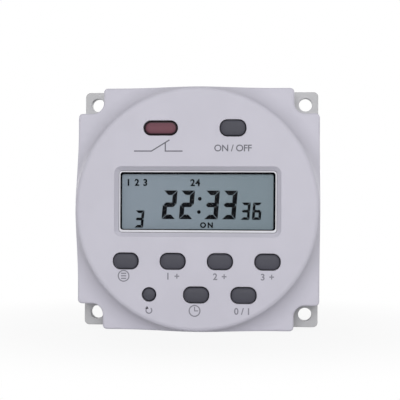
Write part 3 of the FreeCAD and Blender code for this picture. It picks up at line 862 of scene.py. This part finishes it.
lens_low, lens_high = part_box("indicator_lens")
lens_x, lens_z, lens_wide, lens_tall = opening("indicator_lens", LAMP_LIP)
lens_wide -= 2 * LENS_GAP
lens_tall -= 2 * LENS_GAP
lens = Finish("red lens", Roughness=0.45, Specular_IOR_Level=0.2)
past_end = abs(lens.place.axis("X") - lens_x) - (lens_wide - lens_tall) / 2
past_end = past_end.math("MAXIMUM", 0.0)
across = lens.place.axis("Z") - lens_z
from_core = (past_end * past_end + across * across).math("POWER", 0.5)
# Paler towards the middle; a band of painted shadow darkens the edge, where the gap beside the lens is in
# shade.
shade_edge = lens_tall / 2 - LENS_SHADOW_WIDE
middle = from_core.between(shade_edge, 0.0).mix(screen(*LENS_RED), screen(*LENS_PALE))
painted_shadow = from_core.between(shade_edge - LENS_SHADOW_BLUR, shade_edge + LENS_SHADOW_BLUR)
lens.set(Base_Color=painted_shadow.mix(middle, screen(*LENS_SHADOW)))
lens.bump(lens.noise(LENS_GRAIN), LENS_DEEP)
lens_shape = (lens_x, lens_z, lens_wide, lens_tall, half)
mesh = bmesh.new()
levels = [(rounded_outline(*lens_shape, grow=-inward * LENS_EDGE), -lens_low.y - down * LENS_EDGE)
          for inward, down in LENS_BEND]
top, last = sleeve(mesh, levels + [(rounded_outline(*lens_shape), ceiling)])
mesh.faces.new(top)
lens_lip = rounded_outline(lens_x, lens_z, lens_high.x - lens_low.x, lens_high.z - lens_low.z, LENS_GAP)
lip_top, lip_bottom = sleeve(mesh, [(lens_lip, ceiling), (lens_lip, -lens_high.y)])
fill(mesh, lip_top, last)
mesh.faces.new(lip_bottom)
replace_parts(make_piece("red_window", mesh, lens.made, "timer"), "indicator_lens")


# Keys: eight caps of dark grey plastic with slightly crowned tops, each on the plunger of its switch.
# A lip behind the face keeps each one in. The small round one lies almost level with the face.
KEY_DARK = (68, 68, 77)
KEY_GAP = 0.25 * mm
KEY_EDGE = 0.45 * mm
KEY_EDGE_STEPS = 4
KEY_CROWN = 0.12 * mm
CROWN_BEND = ((3, 0), (2, 1 / 3))
KEY_LIP_TALL = 0.9 * mm

key_plastic = moulded("key plastic", KEY_DARK, 0.55, drift=0.03, Specular_IOR_Level=0.25)
for key in keys:
    low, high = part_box("key_" + key)
    x, z, wide, tall = opening("key_" + key, KEY_LIP)
    cap = (x, z, wide - 2 * KEY_GAP, tall - 2 * KEY_GAP, KEY_END_R - KEY_GAP)
    key_lip = rounded_outline(x, z, high.x - low.x, high.z - low.z, KEY_GAP)
    foot = -high.y
    levels = [(rounded_outline(*cap, grow=-inward * KEY_EDGE), -low.y - down * KEY_CROWN)
              for inward, down in CROWN_BEND]
    for turn in bend_turns(KEY_EDGE_STEPS):
        outline = rounded_outline(*cap, grow=KEY_EDGE * (math.sin(turn) - 1))
        levels.append((outline, -low.y - KEY_CROWN - KEY_EDGE * (1 - math.cos(turn))))
    levels.append((rounded_outline(*cap), foot + KEY_LIP_TALL))
    mesh = bmesh.new()
    first, last = sleeve(mesh, levels)
    mesh.faces.new(first)
    lip_top, lip_bottom = sleeve(mesh, [(key_lip, foot + KEY_LIP_TALL), (key_lip, foot)])
    fill(mesh, lip_top, last)
    mesh.faces.new(lip_bottom)
    cap_piece = make_piece("cap_" + key, mesh, key_plastic, "button_" + key)
    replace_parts(cap_piece, "key_" + key)


# Printing on the face: thin grey pad print of plain signs and pictograms beside the keys.
# It marks the contact, the manual switch, the settings, the clock and the recall.
PRINT = (86, 86, 96)
PRINT_WORN = (122, 121, 131)
LINE = 0.28 * mm
PRINT_WEIGHT = 0.05 * mm
SIGN_TALL = 1.65 * mm
CONTACT_Z = 14.1 * mm
CONTACT = ((-15.25 * mm, CONTACT_Z), (-11.1 * mm, CONTACT_Z), (-6.8 * mm, 16.75 * mm))
CONTACT_END = ((-7.7 * mm, 15.95 * mm), (-7.7 * mm, CONTACT_Z), (-3.6 * mm, CONTACT_Z))
MANUAL_Z = 14.85 * mm
MANUAL_SPACING = 0.95
ROW_Z = -16.4 * mm
ROW_SPACING = 1.15
BADGE_R = 1.45 * mm
BADGE_LEFT = 0.5 * mm
BAR_LONG = 1.0 * mm
BAR_STEP = 0.62 * mm
LOW_Z = -24.75 * mm
CLOCK_R = 1.45 * mm
CLOCK_LEFT = 0.35 * mm
HAND_UP = 0.9 * mm
HAND_RIGHT = 0.75 * mm
HAND_WIDE = 0.8 * LINE
RECALL_LEFT = 0.25 * mm
SWEEP_R = 0.72 * mm
SWEEP_TURNS = (120, 400)
SWEEP_STEPS = 14
ARROW = ((-0.1 * mm, 0.5 * mm), (-0.6 * mm, -0.2 * mm), (0.35 * mm, -0.3 * mm))


def line(mesh, points, wide, w):
    """Flat print along straight runs, with mitred corners and squared ends."""
    runs = [Vector((x1 - x0, z1 - z0)).normalized() for (x0, z0), (x1, z1) in zip(points, points[1:])]
    left, right = [], []
    for i, spot in enumerate(points):
        first, second = runs[max(i - 1, 0)], runs[min(i, len(runs) - 1)]
        across = Vector((-first.y - second.y, first.x + second.x)).normalized()
        across *= wide / 2 / across.dot(Vector((-second.y, second.x)))
        ends = (i == len(points) - 1) - (i == 0)
        along = Vector(spot) + first * ends * wide / 2
        left.append(along + across)
        right.append(along - across)
    plate(mesh, left + right[::-1], w, w + INK_TALL)


print_grey = moulded("face print", PRINT, 0.5, drift=0.03)
mesh = bmesh.new()
line(mesh, CONTACT, LINE, face)
line(mesh, CONTACT_END, LINE, face)
make_piece("print_contact", mesh, print_grey, "timer")
manual_x = opening("key_manual", KEY_LIP)[0]
lettering("print_manual", "ON / OFF", manual_x, MANUAL_Z, SIGN_TALL, face, print_grey,
          PRINT_WEIGHT / 2, MANUAL_SPACING)

worn_print = moulded("worn face print", PRINT_WORN, 0.5, drift=0.03)
program_x = opening("key_program", KEY_LIP)[0]
mesh = bmesh.new()
badge = (program_x - BADGE_LEFT, ROW_Z)
strip(mesh, circle(*badge, BADGE_R), circle(*badge, BADGE_R - LINE), face, face + INK_TALL)
for step in (-1, 0, 1):
    z = ROW_Z + step * BAR_STEP
    line(mesh, ((program_x - BAR_LONG, z), (program_x, z)), LINE, face)
make_piece("print_program", mesh, worn_print, "timer")
for number, key in enumerate(("day", "hour", "minute")):
    x = opening("key_" + key, KEY_LIP)[0]
    lettering("print_" + key, "%d +" % (number + 1), x, ROW_Z, SIGN_TALL, face, worn_print,
              PRINT_WEIGHT, ROW_SPACING)

clock_x = opening("key_clock", KEY_LIP)[0] - CLOCK_LEFT
mesh = bmesh.new()
dial = (clock_x, LOW_Z)
strip(mesh, circle(*dial, CLOCK_R), circle(*dial, CLOCK_R - LINE), face, face + INK_TALL)
line(mesh, ((clock_x, LOW_Z + HAND_UP), dial, (clock_x + HAND_RIGHT, LOW_Z)), HAND_WIDE, face)
make_piece("print_clock", mesh, worn_print, "timer")
recall_x = opening("key_recall", KEY_LIP)[0] - RECALL_LEFT
lettering("print_recall", "0 / 1", recall_x, LOW_Z, SIGN_TALL, face, worn_print, PRINT_WEIGHT)

reset_x = opening("key_reset", KEY_LIP)[0]
mesh = bmesh.new()
sweep = arc(reset_x, LOW_Z, SWEEP_R, *SWEEP_TURNS, SWEEP_STEPS)
line(mesh, sweep, LINE, face)
tip_x, tip_z = sweep[0]
plate(mesh, [(tip_x + x, tip_z + z) for x, z in ARROW], face, face + INK_TALL)
make_piece("print_reset", mesh, worn_print, "timer")


# Case screws: four pan head screws of zinc-plated steel, in deep wells at the back of the housing.
# They go through the housing into the pillars of the cover and have a cross recess.
ZINC_DULL = (150, 150, 148)
ZINC_BRIGHT = (190, 190, 188)
ZINC_SPOT = 1.2 * mm
ZINC_GRAIN = 0.4 * mm
ZINC_ROUGH = (0.25, 0.18)
HEAD_R = 2.4 * mm
HEAD_FLAT = 0.62 * HEAD_R
HEAD_CROWN = 0.6 * HEAD_TALL
HEAD_STEPS = 4
SHANK_R = 1.3 * mm
SHANK_GROOVE = 0.12 * mm
TIP_END_R = 0.3 * SHANK_R
PITCH = 0.9 * mm
CROSS = 1.2 * mm
CROSS_HALF = 0.32 * mm
CROSS_DEEP = 0.9 * mm

tip = -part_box("case_screws")[0].y
back = seat - HEAD_TALL
zinc = Finish("zinc-plated steel", Metallic=1.0)
zinc.set(Base_Color=zinc.noise(ZINC_SPOT).mix(screen(*ZINC_DULL), screen(*ZINC_BRIGHT)))
zinc.roughen(zinc.noise(ZINC_GRAIN), *ZINC_ROUGH)
cross = four_times(((CROSS, -CROSS_HALF), (CROSS, CROSS_HALF), (CROSS_HALF, CROSS_HALF)))
steps = []
for turn in bend_turns(HEAD_STEPS):
    radius = HEAD_FLAT + (HEAD_R - HEAD_FLAT) * math.sin(turn)
    steps.append((radius, back + HEAD_CROWN * (1 - math.cos(turn))))
steps += [(HEAD_R, seat), (SHANK_R, seat)]
for i in range(int((tip - seat - 2 * PITCH) / PITCH)):
    steps.append((SHANK_R, seat + PITCH * (i + 1)))
    steps.append((SHANK_R - SHANK_GROOVE, seat + PITCH * (i + 1.5)))
steps += [(SHANK_R - SHANK_GROOVE, tip - PITCH), (TIP_END_R, tip)]

mesh = bmesh.new()
for sx, sz in CORNERS:
    x, z = sx * screw_at, sz * screw_at
    recess = [(x + px, z + pz) for px, pz in cross]
    outer, point = sleeve(mesh, [(circle(x, z, radius), w) for radius, w in steps])
    mesh.faces.new(point)
    mouth, floor_row = sleeve(mesh, [(recess, back), (recess, back + CROSS_DEEP)])
    fill(mesh, outer, mouth)
    mesh.faces.new(floor_row)
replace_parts(make_piece("pan_head_screws", mesh, zinc.made, "timer"), "case_screws")


# Floor and background: a plain pale floor that the timer stands on, with white all round it.
# They aren't part of the timer.
FLOOR_R = 3.0
FLOOR_SIDES = 64
FLOOR_DARK = (200, 200, 200)
FLOOR_PALE = (206, 206, 206)
FLOOR_SPOT = 0.2
SHADE_NEAR = 0.045
SHADE_FAR = 0.1
SHADE_SHARE = 0.11
WHITE = (1, 1, 1, 1)
AMBIENT = 0.32

mesh = bmesh.new()
mesh.faces.new([mesh.verts.new((x, z, cad_box[0].z)) for x, z in circle(0, 0, FLOOR_R, FLOOR_SIDES)])
data = bpy.data.meshes.new("floor")
mesh.to_mesh(data)
mesh.free()
floor = bpy.data.objects.new("floor", data)
bpy.context.scene.collection.objects.link(floor)


def seen_white(wire):
    """1 for rays from the camera and for reflections and views through clear parts."""
    light = wire.tree.nodes.new("ShaderNodeLightPath")
    names = ("Is Camera Ray", "Is Glossy Ray", "Is Transmission Ray")
    camera_ray, glossy_ray, clear_ray = [Wire(wire.tree, light.outputs[name]) for name in names]
    return (camera_ray + glossy_ray + clear_ray).math("MINIMUM", 1.0)


pale_floor = Finish("pale floor", Roughness=0.7)
pale_floor.set(Base_Color=pale_floor.noise(FLOOR_SPOT).mix(screen(*FLOOR_DARK), screen(*FLOOR_PALE)))
wire = pale_floor.wire
distance = wire.node("ShaderNodeVectorMath", {"operation": "LENGTH"}, {0: pale_floor.place}, "Value")
white = wire.node("ShaderNodeEmission", {}, {"Strength": 1.0})
shade = (1 - distance.between(SHADE_NEAR, SHADE_FAR)) * SHADE_SHARE
surface_wire = Wire(wire.tree, pale_floor.shader.outputs[0])
mixed = wire.node("ShaderNodeMixShader", {}, {0: seen_white(wire) * (1 - shade), 1: surface_wire, 2: white})
output = pale_floor.made.node_tree.nodes["Material Output"]
wire.tree.links.new(mixed.socket, output.inputs["Surface"])
data.materials.append(pale_floor.made)

world = bpy.data.worlds.new("white room")
world.use_nodes = True
bpy.context.scene.world = world
around = Wire(world.node_tree)
ambient = around.node("ShaderNodeBackground", {}, {"Color": WHITE, "Strength": AMBIENT})
bright = around.node("ShaderNodeBackground", {}, {"Color": WHITE, "Strength": 1.0})
sky = around.node("ShaderNodeMixShader", {}, {0: seen_white(around), 1: ambient, 2: bright})
world.node_tree.links.new(sky.socket, world.node_tree.nodes["World Output"].inputs["Surface"])


# Light: a large soft lamp in front, a little above the camera, as in the photograph.
# Weaker ones light the back and the sides for other views.
LAMPS = (
    ("front lamp", (0.07, -1.43, 0.42), 0.9, 14.0),
    ("right rear lamp", (0.6, 0.78, 0.3), 0.6, 4.0),
    ("left rear lamp", (-0.6, 0.78, 0.3), 0.6, 4.0),
)
for name, place, size, power in LAMPS:
    lamp = bpy.data.lights.new(name, "AREA")
    lamp.shape = "SQUARE"
    lamp.size = size
    lamp.energy = power
    holder = bpy.data.objects.new(name, lamp)
    bpy.context.scene.collection.objects.link(holder)
    holder.location = place
    holder.rotation_euler = (-Vector(place)).to_track_quat("-Z", "Y").to_euler()


# Camera: at the photograph's angle, a little to the right of the middle and level with it.
EYE = Vector((0.0185, -0.259, 0.0))
AIM = Vector((0.00085, -0.0165, 0.0022))
ROLL = math.radians(0.27)
LENS = 90.0
SENSOR = 36.0
NEAREST = 0.01

camera = bpy.data.cameras.new("camera")
camera.lens = LENS
camera.sensor_width = SENSOR
camera.clip_start = NEAREST
viewer = bpy.data.objects.new("camera", camera)
bpy.context.scene.collection.objects.link(viewer)
viewer.location = EYE
viewer.rotation_mode = "QUATERNION"
viewer.rotation_quaternion = (AIM - EYE).to_track_quat("-Z", "Y") @ Quaternion((0, 0, 1), ROLL)
bpy.context.scene.camera = viewer
bpy.context.scene.view_settings.view_transform = "Standard"
